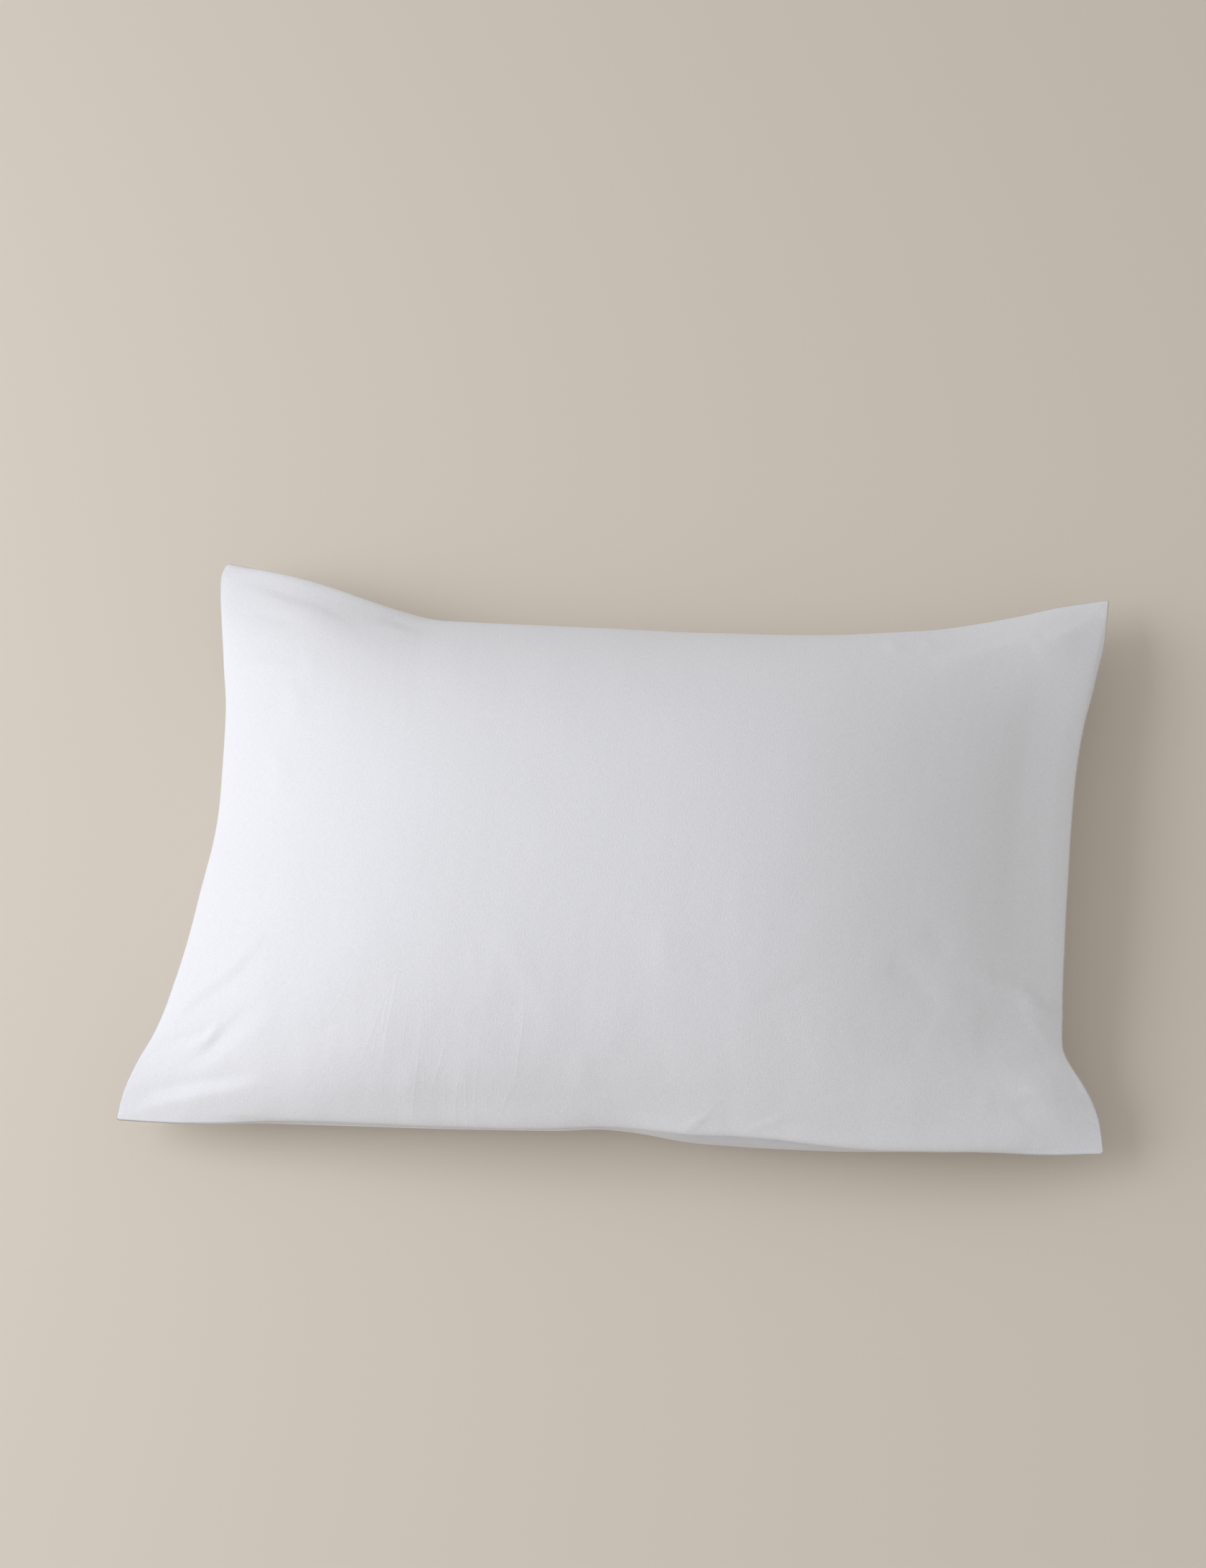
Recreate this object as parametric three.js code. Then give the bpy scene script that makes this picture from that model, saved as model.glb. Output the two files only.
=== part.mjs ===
// A plain white pillow sham, filled, lying on its back.
// Millimetres. +X runs along its length, +Y towards its upper long side, +Z up.
// The origin is on the surface it lies on, below the middle of its outline.
//
// The sham is one filled solid. Its seam is a closed line of four uneven curves,
// drawn in between four corner tips. A smooth seam surface is stretched between
// the curves. The front panel rises from that surface in a crown, and the back
// panel falls from it, until it lies flat.

import * as THREE from 'three';

// ---- Driving sizes ----

const LENGTH = 720;        // between the corner tips, along X
const WIDTH = 466;         // between the corner tips, along Y
const CROWN = 80;          // rise of the front panel above the seam surface, at its middle
const BACK_DEPTH = 96;     // fall of the back panel below the seam surface, at its middle
const EAR_HALF = 3.5;      // half the thickness that the thin corner ears soon reach
const FLOOR_BLEND = 4;     // how softly the back panel turns flat on the surface
const REST_SNAP = 0.4;     // what comes nearer to the surface than this lies on it

// Each corner tip: how far it is off the plain LENGTH by WIDTH rectangle, and its height.
const CORNER = {
  topLeft:     { offX: 4,    offY: 6,    height: 36 },
  topRight:    { offX: 1.8,  offY: -2,   height: 34 },
  bottomRight: { offX: -0.8, offY: 11.6, height: 28 },
  bottomLeft:  { offX: -4,   offY: -8.5, height: 31 },
};

// The seam of each side. Columns: the share of the way along the side, how far the seam
// is drawn in from the straight line between the tips, and how far it lies above that line.
const SEAM = {
  top: [   // from the left tip to the right tip
    [0.00, 0, 0], [0.06, 10, 4], [0.13, 27, 9], [0.20, 44.5, 13], [0.245, 54.2, 15.5],
    [0.262, 56.2, 16], [0.29, 57.8, 17], [0.36, 59.4, 18], [0.52, 61, 20], [0.66, 56, 18],
    [0.80, 43, 13], [0.90, 24, 7], [0.95, 11, 4], [1.00, 0, 0],
  ],
  bottom: [   // from the left tip to the right tip
    [0.00, 0, 0], [0.06, -2, 3], [0.14, -4, 8], [0.30, -4, 14], [0.50, -3, 16],
    [0.68, -6, 16], [0.84, -7, 11], [0.95, -3, 4], [1.00, 0, 0],
  ],
  left: [   // from the lower tip to the upper tip
    [0.00, 0, 0], [0.04, 3, 6], [0.09, 11, 11], [0.13, 20, 14], [0.18, 27, 17], [0.27, 34, 20],
    [0.37, 38, 22], [0.47, 41, 22], [0.61, 34.5, 19], [0.70, 28, 16], [0.79, 17.5, 12], [0.88, 7, 8],
    [0.94, 0, 4], [0.97, -2, 3], [1.00, 0, 0],
  ],
  right: [   // from the lower tip to the upper tip
    [0.00, 0, 0], [0.05, 4.6, 7], [0.09, 14.2, 12.5], [0.135, 28.2, 17], [0.155, 32, 18.5],
    [0.18, 32.4, 20], [0.30, 32.8, 25], [0.50, 31, 27], [0.61, 28, 25], [0.72, 22, 22],
    [0.78, 16, 19], [0.84, 11, 16], [0.90, 5, 12], [0.96, 2, 6], [1.00, 0, 0],
  ],
};
const [ALONG, DRAWN_IN, RISE] = [0, 1, 2];

// How each panel swells: 1 - |u|^power is raised to a steepness. It is low at a side where
// the wall is steep, and high at the corners, where the ears are thin.
const POWER_U = 2.7;
const POWER_V = 2.6;
const FRONT_STEEPNESS = { left: 0.85, right: 1.10, lower: 0.62, upper: 0.82 };
const BACK_STEEPNESS = { left: 0.60, right: 0.60, lower: 0.60, upper: 0.60 };
const CORNER_STEEPNESS = 1.3;
const EAR_REACH_U = 8;     // higher keeps the thin ears nearer to the short sides
const EAR_REACH_V = 6;     // higher keeps the thin ears nearer to the long sides
const EAR_EDGE = 0.3;      // how quickly an ear reaches its thickness from the seam

// The left half of the lower seam is tucked in, and on the right half it lies out as a lip.
// Columns: the share of the way along the lower side, and the shift inwards.
const LOWER_SHIFT = [
  [0.00, 0], [0.04, 0], [0.15, 2], [0.45, 3.4], [0.50, 5.8], [0.53, 4.5], [0.60, -1.2],
  [0.72, -2.2], [0.83, 0], [1.00, 0],
];
const SHIFT_REACH = 0.035;  // how far up the panel the shift is felt, as a share of its width

// Where the seam is tucked in, the front panel bulges out over it.
const OVERHANG = { bulge: 6, peak: 0.018, startX: [-150, -40], endX: [20, 130] };

// The main soft creases of the front panel, each along a straight line.
// Columns: from x, y, to x, y, half width, height (a trough is negative).
const CREASES = [
  [-316, -160, -258, -118, 9, 1.3],     // the fan at the lower left corner
  [-314, -168, -260, -128, 8, -1.2],
  [-300, -200, -254, -168, 8, -1.6],
  [-350, -223, -262, -214, 7, -1.8],
  [-352, -236, -258, -219, 7, 1.8],
  [248, -118, 318, -124, 9, 2.2],       // the folds over the lower right ear
  [278, -108, 314, -118, 9, -1.4],
  [287, -118, 316, -151, 8, 1.2],
  [268, -184, 338, -188, 8, 1.4],
  [198, -116, 240, -137, 10, -1.3],
  [312, 165, 288, -95, 16, -1.2],       // the strip beside the right seam lies flatter
  [339, 170, 317, -90, 12, 1.6],
  [-345, 216, -222, 158, 9, -1.0],      // the upper left ear
  [236, 156, 290, 189, 12, 1.2],        // the upper right ear
  [-262, -227, 30, -213, 20, 1.4],      // where the panel turns down to the lower seam
  [190, -225, 334, -202, 18, 1.1],
];

// Mesh: cells along and across, and how much closer they lie near the seam (0 even, 1 closest).
const CELLS_U = 56;
const CELLS_V = 34;
const EDGE_SPACING = 0.8;

// ---- Helpers ----

function smoothStep(from, to, value) {
  const t = Math.min(Math.max((value - from) / (to - from), 0), 1);
  return t * t * (3 - 2 * t);
}

// One column of a table, read by a smooth curve that never overshoots its rows.
function readRow(rows, column, along) {
  const slope = (i) => (rows[i + 1][column] - rows[i][column]) / (rows[i + 1][ALONG] - rows[i][ALONG]);
  const tangent = (i) => {
    if (i === 0) return slope(0);
    if (i === rows.length - 1) return slope(i - 1);
    const before = slope(i - 1);
    const after = slope(i);
    return before * after <= 0 ? 0 : (2 * before * after) / (before + after);
  };
  let i = 0;
  while (i < rows.length - 2 && along >= rows[i + 1][ALONG]) i += 1;
  const span = rows[i + 1][ALONG] - rows[i][ALONG];
  const s = (along - rows[i][ALONG]) / span;
  const start = rows[i][column] * (2 * s ** 3 - 3 * s ** 2 + 1) + tangent(i) * span * (s ** 3 - 2 * s ** 2 + s);
  const end = rows[i + 1][column] * (3 * s ** 2 - 2 * s ** 3) + tangent(i + 1) * span * (s ** 3 - s ** 2);
  return start + end;
}

function cornerPoint(name, signX, signY) {
  const { offX, offY, height } = CORNER[name];
  return new THREE.Vector3((signX * LENGTH) / 2 + offX, (signY * WIDTH) / 2 + offY, height);
}

const TIP = {
  topLeft: cornerPoint('topLeft', -1, 1),
  topRight: cornerPoint('topRight', 1, 1),
  bottomRight: cornerPoint('bottomRight', 1, -1),
  bottomLeft: cornerPoint('bottomLeft', -1, -1),
};

const SIDES = {
  top: { from: TIP.topLeft, to: TIP.topRight, inward: new THREE.Vector3(0, -1, 0) },
  bottom: { from: TIP.bottomLeft, to: TIP.bottomRight, inward: new THREE.Vector3(0, 1, 0) },
  left: { from: TIP.bottomLeft, to: TIP.topLeft, inward: new THREE.Vector3(1, 0, 0) },
  right: { from: TIP.bottomRight, to: TIP.topRight, inward: new THREE.Vector3(-1, 0, 0) },
};

function seamPoint(side, along) {
  const { from, to, inward } = SIDES[side];
  const point = from.clone().lerp(to, along);
  point.addScaledVector(inward, readRow(SEAM[side], DRAWN_IN, along));
  point.z += readRow(SEAM[side], RISE, along);
  return point;
}

// The seam surface: a Coons patch between the four seam curves, at u and v from 0 to 1.
function seamSurface(u, v) {
  const acrossSides = seamPoint('bottom', u).lerp(seamPoint('top', u), v);
  const alongSides = seamPoint('left', v).lerp(seamPoint('right', v), u);
  const lower = TIP.bottomLeft.clone().lerp(TIP.bottomRight, u);
  const upper = TIP.topLeft.clone().lerp(TIP.topRight, u);
  return acrossSides.add(alongSides).sub(lower.lerp(upper, v));
}

// How far a panel has swelled at u and v from -1 to 1: 0 at the seam, 1 in the middle.
function swell(steepness, u, v) {
  const sideU = u < 0 ? steepness.left : steepness.right;
  const sideV = v < 0 ? steepness.lower : steepness.upper;
  const steepU = sideU + (CORNER_STEEPNESS - sideU) * Math.abs(v) ** EAR_REACH_V;
  const steepV = sideV + (CORNER_STEEPNESS - sideV) * Math.abs(u) ** EAR_REACH_U;
  return (1 - Math.abs(u) ** POWER_U) ** steepU * (1 - Math.abs(v) ** POWER_V) ** steepV;
}

function earThickness(u, v) {
  const inside = (1 - Math.abs(u) ** POWER_U) * (1 - Math.abs(v) ** POWER_V);
  return EAR_HALF * inside ** EAR_EDGE;
}

// How far the lower edge is shifted inwards at a point.
function lowerShift(x, v) {
  const along = Math.min(Math.max(x / LENGTH + 0.5, 0), 1);
  const reached = Math.exp(-(((1 + v) / 2 / SHIFT_REACH) ** 2));
  return readRow(LOWER_SHIFT, 1, along) * reached;
}

// How far the front panel bulges out over the lower seam.
function overhang(x, v) {
  const strength = smoothStep(...OVERHANG.startX, x) * (1 - smoothStep(...OVERHANG.endX, x));
  const share = (1 + v) / 2 / OVERHANG.peak;
  return OVERHANG.bulge * strength * share * Math.exp(1 - share);
}

function creaseHeight(x, y) {
  let height = 0;
  for (const [fromX, fromY, toX, toY, halfWidth, rise] of CREASES) {
    const line = new THREE.Vector2(toX - fromX, toY - fromY);
    const offset = new THREE.Vector2(x - fromX, y - fromY);
    const share = Math.min(Math.max(offset.dot(line) / line.lengthSq(), 0), 1);
    const distance = offset.addScaledVector(line, -share).length();
    height += rise * Math.exp(-((distance / halfWidth) ** 2));
  }
  return height;
}

function frontPoint(u, v) {
  const point = seamSurface((u + 1) / 2, (v + 1) / 2);
  const risen = swell(FRONT_STEEPNESS, u, v);
  const creased = creaseHeight(point.x, point.y) * Math.min(1, 4 * risen);
  point.z += CROWN * risen + earThickness(u, v) + creased;
  point.y += lowerShift(point.x, v) - overhang(point.x, v);
  return point;
}

// The back panel, pressed flat where it would reach below the surface.
function backPoint(u, v) {
  const point = seamSurface((u + 1) / 2, (v + 1) / 2);
  const height = point.z - BACK_DEPTH * swell(BACK_STEEPNESS, u, v) - earThickness(u, v);
  const turning = Math.max(0, height + FLOOR_BLEND) ** 2 / (4 * FLOOR_BLEND);
  const raised = height < FLOOR_BLEND ? turning : height;
  point.z = raised < REST_SNAP ? 0 : raised;
  point.y += lowerShift(point.x, v);
  return point;
}

// Cell borders from -1 to 1, closer together near the seam.
function spacing(cells) {
  return Array.from({ length: cells + 1 }, (_, i) => {
    const even = (2 * i) / cells - 1;
    return (1 - EDGE_SPACING) * even + EDGE_SPACING * Math.sin((Math.PI / 2) * even);
  });
}

// Two grids of points that share their outer row, which is the seam.
function paddedGeometry() {
  const us = spacing(CELLS_U);
  const vs = spacing(CELLS_V);
  const positions = [];
  const addPoint = (point) => positions.push(point.x, point.y, point.z) / 3 - 1;
  const front = us.map((u) => vs.map((v) => addPoint(frontPoint(u, v))));
  const onSeam = (i, j) => i === 0 || j === 0 || i === CELLS_U || j === CELLS_V;
  const back = us.map((u, i) => vs.map((v, j) => (onSeam(i, j) ? front[i][j] : addPoint(backPoint(u, v)))));

  const triangles = [];
  for (let i = 0; i < CELLS_U; i += 1) {
    for (let j = 0; j < CELLS_V; j += 1) {
      // The diagonal leans towards the nearest corner, so the ears fold evenly.
      const rising = i < CELLS_U / 2 === j < CELLS_V / 2;
      for (const [grid, facesUp] of [[front, true], [back, false]]) {
        const [a, b, c, d] = [grid[i][j], grid[i + 1][j], grid[i + 1][j + 1], grid[i][j + 1]];
        const pair = rising ? [[a, b, c], [a, c, d]] : [[a, b, d], [b, c, d]];
        for (const corners of pair) triangles.push(...(facesUp ? corners : corners.reverse()));
      }
    }
  }
  const geometry = new THREE.BufferGeometry();
  geometry.setAttribute('position', new THREE.Float32BufferAttribute(positions, 3));
  geometry.setIndex(triangles);
  geometry.computeVertexNormals();
  return geometry;
}

// ---- The part ----

const cotton = new THREE.MeshStandardMaterial({ color: 0xe9eaee, roughness: 0.9, metalness: 0 });
const sham = new THREE.Mesh(paddedGeometry(), cotton);
sham.name = 'sham';

const box = new THREE.Box3().setFromObject(sham);
const middle = box.getCenter(new THREE.Vector3());
sham.position.set(-middle.x, -middle.y, -box.min.z);

const part = new THREE.Group();
part.add(sham);
export default part;
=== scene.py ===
# %% [markdown]
# # A filled pillow sham
#
# A pillow sham is a plain cotton case: a front panel and a back panel, sewn together
# around the edge and turned right side out. Filled with its pillow it becomes a soft
# crowned form. The cloth hardly stretches, so as the middle swells the four sides are
# drawn in, and the corners stay behind as thin pointed ears.
#
# This lesson builds it in the order in which a maker would think of it: the seam, the
# two panels between the seams, the air and filling that push them apart, then the folds,
# the cloth's surface, and last the floor and the light.
#
# The sham could be modelled around the origin and moved into place at the end. Reading
# the box of the plain solid first is safer, because everything is then made where it
# belongs. The tables below are in millimetres, and MM turns them into Blender's metres.

# %% The frame
import math
import bpy
import numpy as np
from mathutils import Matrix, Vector, noise


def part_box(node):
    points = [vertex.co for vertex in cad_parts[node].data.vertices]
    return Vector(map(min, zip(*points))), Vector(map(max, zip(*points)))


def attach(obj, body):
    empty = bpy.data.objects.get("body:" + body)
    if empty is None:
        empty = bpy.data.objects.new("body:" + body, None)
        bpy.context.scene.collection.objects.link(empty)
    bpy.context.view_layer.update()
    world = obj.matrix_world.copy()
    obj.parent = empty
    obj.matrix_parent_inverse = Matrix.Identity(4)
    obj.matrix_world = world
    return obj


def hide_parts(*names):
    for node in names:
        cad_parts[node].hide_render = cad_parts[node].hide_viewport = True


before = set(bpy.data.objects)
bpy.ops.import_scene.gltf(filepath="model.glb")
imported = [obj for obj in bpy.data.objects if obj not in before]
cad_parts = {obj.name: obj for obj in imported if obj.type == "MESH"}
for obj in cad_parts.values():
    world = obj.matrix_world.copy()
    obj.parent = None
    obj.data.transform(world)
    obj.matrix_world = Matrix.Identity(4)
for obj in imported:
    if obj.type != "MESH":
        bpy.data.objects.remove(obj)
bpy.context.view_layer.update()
MM = 0.001
solid_low, solid_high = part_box("sham")
print("the solid is", [round(b - a, 3) for a, b in zip(solid_low, solid_high)], "m")

# %% [markdown]
# ## The camera
#
# The sham lies on its back. The camera looks down on its front panel, about 26 degrees
# away from straight above, and it is turned and rolled a little, so that the right end
# comes nearer. A short lens close by would make the near ears too large. A 55 mm lens at
# almost 1.9 m keeps the outline close to its true shape.

# %% Camera
LENS = 55
CAMERA_PLACE = (0.2111, -0.7444, 1.6987)
CAMERA_ANGLES = (26.0, 5.5, 5.3)
camera_data = bpy.data.cameras.new("camera")
camera_data.lens = LENS
camera = bpy.data.objects.new("camera", camera_data)
camera.location = CAMERA_PLACE
camera.rotation_euler = [math.radians(angle) for angle in CAMERA_ANGLES]
bpy.context.scene.collection.objects.link(camera)
bpy.context.scene.camera = camera
print("camera", round(camera.location.length, 2), "m from the origin")

# %% [markdown]
# ## The seam
#
# The outline of a cushion is its seam, and everything else hangs on it. Each side could
# be drawn as a Bezier curve by eye, but a short table says more: how far along the side,
# how far the seam is drawn in from the straight line between the corner tips, and how far
# it lies above that line. The sides are not alike. The upper side is drawn in most, the
# right side has a sudden kink above its lower corner, and the lower side is almost
# straight, because that is the side the sham has stood on.

# %% Seam tables, in millimetres
LENGTH = 720
WIDTH = 466
CORNERS = {
    "lower_left": (-LENGTH / 2 - 4, -WIDTH / 2 - 8.5, 31),
    "lower_right": (LENGTH / 2 - 0.8, -WIDTH / 2 + 11.6, 28),
    "upper_left": (-LENGTH / 2 + 4, WIDTH / 2 + 6, 36),
    "upper_right": (LENGTH / 2 + 1.8, WIDTH / 2 - 2, 34),
}
# columns: share of the way along, drawn in, rise
UPPER_SEAM = [
    (0.00, 0, 0), (0.06, 10, 4), (0.13, 27, 9), (0.20, 44.5, 13), (0.245, 54.2, 15.5),
    (0.262, 56.2, 16), (0.29, 57.8, 17), (0.36, 59.4, 18),
    (0.52, 61, 20), (0.66, 56, 18), (0.80, 43, 13), (0.90, 24, 7), (0.95, 11, 4), (1.00, 0, 0),
]
LOWER_SEAM = [
    (0.00, 0, 0), (0.06, -2, 3), (0.14, -4, 8), (0.30, -4, 14), (0.50, -3, 16),
    (0.68, -6, 16), (0.84, -7, 11), (0.95, -3, 4), (1.00, 0, 0),
]
LEFT_SEAM = [
    (0.00, 0, 0), (0.04, 3, 6), (0.09, 11, 11), (0.13, 20, 14), (0.18, 27, 17), (0.27, 34, 20),
    (0.37, 38, 22), (0.47, 41, 22), (0.61, 34.5, 19), (0.70, 28, 16), (0.79, 17.5, 12), (0.88, 7, 8),
    (0.94, 0, 4), (0.97, -2, 3), (1.00, 0, 0),
]
RIGHT_SEAM = [
    (0.00, 0, 0), (0.05, 4.6, 7), (0.09, 14.2, 12.5), (0.135, 28.2, 17), (0.155, 32, 18.5),
    (0.18, 32.4, 20), (0.30, 32.8, 25), (0.50, 31, 27), (0.61, 28, 25), (0.72, 22, 22), (0.78, 16, 19),
    (0.84, 11, 16), (0.90, 5, 12), (0.96, 2, 6), (1.00, 0, 0),
]
for side_name, rows in [("upper", UPPER_SEAM), ("left", LEFT_SEAM), ("right", RIGHT_SEAM)]:
    print("the", side_name, "side is drawn in by up to", max(row[1] for row in rows), "mm")

# %% [markdown]
# ## A smooth curve through a table
#
# Straight lines from row to row would leave corners in the seam, and many smooth curves
# swing too far on both sides of a sudden bend. The curve here takes its slope at each row
# from the stretches before and after it, and is level where the values turn back. So it
# is smooth, and never goes past the values of its table.

# %% Reading a table
def read_table(rows, along):
    """Every column but the first, read at the places `along` by a smooth curve."""
    table = np.array(rows, float)
    at, values = table[:, 0], table[:, 1:]
    gap = np.diff(at)[:, None]
    slope = np.diff(values, axis=0) / gap
    before, after = slope[:-1], slope[1:]
    same_way = before * after > 0
    total = np.where(same_way, before + after, 1.0)
    inner = np.where(same_way, 2 * before * after / total, 0.0)
    tangent = np.vstack([slope[:1], inner, slope[-1:]])
    row = np.clip(np.searchsorted(at, along, side="right") - 1, 0, len(at) - 2)
    s = ((along - at[row]) / gap[row, 0])[..., None]
    start = values[row] * (2 * s**3 - 3 * s**2 + 1) + tangent[row] * gap[row] * (s**3 - 2 * s**2 + s)
    end = values[row + 1] * (3 * s**2 - 2 * s**3) + tangent[row + 1] * gap[row] * (s**3 - s**2)
    return np.moveaxis(start + end, -1, 0)


def seam_line(first, last, rows, along, inward):
    """One side's seam between two corners, drawn in and raised as its table says."""
    start = np.array(CORNERS[first], float)
    end = np.array(CORNERS[last], float)
    drawn_in, rise = read_table(rows, along)
    line = start + (end - start) * along[..., None]
    line[..., 0] += inward[0] * drawn_in
    line[..., 1] += inward[1] * drawn_in
    line[..., 2] += rise
    return line


# %% [markdown]
# ## The seam surface
#
# The space between four curves can be filled in many ways. A Coons patch is the simplest
# that passes through all four: blend the lower curve into the upper one, blend the left
# curve into the right one, add both, and take away the flat patch between the corners,
# which was counted twice. The two panels will swell away from this surface.

# %% Seam surface
def seam_surface(u, v):
    """Points of the seam surface at u and v from -1 to 1, in millimetres."""
    across, up = (u + 1) / 2, (v + 1) / 2
    lower = seam_line("lower_left", "lower_right", LOWER_SEAM, across, (0, 1))
    upper = seam_line("upper_left", "upper_right", UPPER_SEAM, across, (0, -1))
    left = seam_line("lower_left", "upper_left", LEFT_SEAM, up, (1, 0))
    right = seam_line("lower_right", "upper_right", RIGHT_SEAM, up, (-1, 0))
    a, b = across[..., None], up[..., None]
    corner = {name: np.array(place, float) for name, place in CORNERS.items()}
    flat_lower = (1 - a) * corner["lower_left"] + a * corner["lower_right"]
    flat_upper = (1 - a) * corner["upper_left"] + a * corner["upper_right"]
    blended = (1 - b) * lower + b * upper + (1 - a) * left + a * right
    return blended - (1 - b) * flat_lower - b * flat_upper


center = seam_surface(np.zeros(1), np.zeros(1))[0]
print("the seam surface's middle lies", round(center[2], 1), "mm above the floor")

# %% [markdown]
# ## How a panel swells
#
# A panel swells steeply from the middle of a side and hardly at all in the corners. An
# ellipsoid would be the easy form, but it is far too pointed in the middle and has no
# ears. One formula does better: 1 - |u| to a power, and all of it to a second power, the
# gentleness, which grows towards the corners. The ears also get a little thickness of
# their own, for the cloth and the last of the filling.

# %% Panel sizes, in millimetres
CROWN = 80
BACK_DEPTH = 96
EAR_HALF = 3.5
# the higher a power, the nearer to the seam a panel keeps its height
POWER_U = 2.7
POWER_V = 2.6
# how gently a panel leaves its seam: at 0.6 it rises steeply, at 1.3 it lies almost flat
FRONT_GENTLENESS = {"left": 0.85, "right": 1.10, "lower": 0.62, "upper": 0.82}
BACK_GENTLENESS = dict.fromkeys(FRONT_GENTLENESS, 0.60)
CORNER_GENTLENESS = 1.3
# the higher these powers, the nearer to the corners the gentleness grows
CORNER_POWER_U = 8
CORNER_POWER_V = 6
# the lower this power, the nearer to the seam an ear keeps its thickness
EAR_POWER = 0.3


def swell(u, v, gentleness):
    """0 at the seam, 1 in the middle of the panel."""
    side_u = np.where(u < 0, gentleness["left"], gentleness["right"])
    side_v = np.where(v < 0, gentleness["lower"], gentleness["upper"])
    gentle_u = side_u + (CORNER_GENTLENESS - side_u) * np.abs(v) ** CORNER_POWER_V
    gentle_v = side_v + (CORNER_GENTLENESS - side_v) * np.abs(u) ** CORNER_POWER_U
    return (1 - np.abs(u) ** POWER_U) ** gentle_u * (1 - np.abs(v) ** POWER_V) ** gentle_v


def ear_thickness(u, v):
    """Half the thickness of cloth and filling that even a thin ear has."""
    inside = (1 - np.abs(u) ** POWER_U) * (1 - np.abs(v) ** POWER_V)
    return EAR_HALF * inside**EAR_POWER


print("the front swells", CROWN, "mm up, and the back", BACK_DEPTH, "mm down to the floor")

# %% [markdown]
# ## The lower seam
#
# The sham has stood on its lower side. There the left half of the seam is tucked in under
# the panel, and on the right half it comes out again and lies there as a narrow lip. The
# seam's own table could hold this too, but it moves the whole panel behind it. A shift
# that reaches only a little way inwards leaves the rest of the panel alone.

# %% Shift of the lower seam, in millimetres
# columns: share of the way along the lower side, shift inwards
LOWER_SHIFT = [
    (0.00, 0), (0.04, 0), (0.15, 2), (0.45, 3.4), (0.50, 5.8), (0.53, 4.5), (0.60, -1.2),
    (0.72, -2.2), (0.83, 0), (1.00, 0),
]
# the shift reaches inwards by about this share of the panel's width
EDGE_REACH = 0.035


def shift_lower_edge(points, v):
    """Draws the lower seam in where it is tucked under, and out where it lies as a lip."""
    along = np.clip(points[..., 0] / LENGTH + 0.5, 0, 1)
    inwards = read_table(LOWER_SHIFT, along)[0]
    points[..., 1] += inwards * np.exp(-(((1 + v) / 2 / EDGE_REACH) ** 2))


# %% [markdown]
# ## Front and back
#
# The front panel is the seam surface with the swelling on top. The back panel is the same
# form turned down, and the floor presses it flat under the middle. Cutting it off at the
# floor would leave a hard line around the flat patch, so the last few millimetres turn
# softly into it.

# %% The two panels
FLOOR_BLEND = 4


def front_panel(u, v):
    points = seam_surface(u, v)
    points[..., 2] += CROWN * swell(u, v, FRONT_GENTLENESS) + ear_thickness(u, v)
    shift_lower_edge(points, v)
    return points


def press_flat(height):
    """The same height, but never below the floor, with a soft turn where it meets it."""
    turning = (height + FLOOR_BLEND) ** 2 / (4 * FLOOR_BLEND)
    return np.where(height > FLOOR_BLEND, height, np.where(height < -FLOOR_BLEND, 0.0, turning))


def back_panel(u, v):
    points = seam_surface(u, v)
    fallen = BACK_DEPTH * swell(u, v, BACK_GENTLENESS) + ear_thickness(u, v)
    points[..., 2] = press_flat(points[..., 2] - fallen)
    shift_lower_edge(points, v)
    return points


# %% [markdown]
# ## Two grids of cells
#
# Both panels are grids of quads with the same number of cells. An even grid would do for
# the middle, but it is too coarse where the form turns quickly, so the cells lie closer
# together near the seam. Then the whole sham is shifted to lie over the solid.

# %% The two grids
CELLS_U = 130
CELLS_V = 86
EDGE_SPACING = 0.75


def spacing(cells):
    """Places from -1 to 1 that lie closer together near both ends."""
    even = np.linspace(-1, 1, cells + 1)
    return (1 - EDGE_SPACING) * even + EDGE_SPACING * np.sin(math.pi / 2 * even)


grid_u, grid_v = np.meshgrid(spacing(CELLS_U), spacing(CELLS_V), indexing="ij")
front_points = front_panel(grid_u, grid_v)
back_points = back_panel(grid_u, grid_v)

everything = np.concatenate([front_points.reshape(-1, 3), back_points.reshape(-1, 3)]) * MM
middle = (everything.min(0) + everything.max(0)) / 2
shift = (np.array(solid_low) + np.array(solid_high)) / 2 - middle
shift[2] = 0
print("each panel has", grid_u.size, "points, and both are shifted by", np.round(shift, 4), "m")

# %% [markdown]
# ## The flat cloth
#
# Every point also remembers where it lay on the flat cloth before it was sewn: how far it
# is along its thread, from seam to seam. Unwrapping the finished mesh could give something
# like it, but it wouldn't know the size that the panels were cut to. The flat pattern has
# three uses later. It is the rest shape of the cloth, it tells how far a point is from a
# seam, and it makes the weave follow the threads.

# %% The flat pattern, in millimetres
FLAT_LENGTH = 750
FLAT_WIDTH = 500


def thread_share(points, axis):
    """How far along its thread each point of a grid lies, from 0 at one seam to 1 at the other."""
    steps = np.linalg.norm(np.diff(points, axis=axis), axis=-1)
    along = np.cumsum(steps, axis=axis)
    along = np.concatenate([np.zeros_like(np.take(along, [0], axis=axis)), along], axis=axis)
    return along / np.take(along, [-1], axis=axis)


def flat_pattern(points):
    x = (thread_share(points, 0) - 0.5) * FLAT_LENGTH
    y = (thread_share(points, 1) - 0.5) * FLAT_WIDTH
    return np.stack([x, y], axis=-1)


front_flat = flat_pattern(front_points)
back_flat = flat_pattern(back_points)
print("both panels are cut", FLAT_LENGTH, "by", FLAT_WIDTH, "mm")

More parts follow.
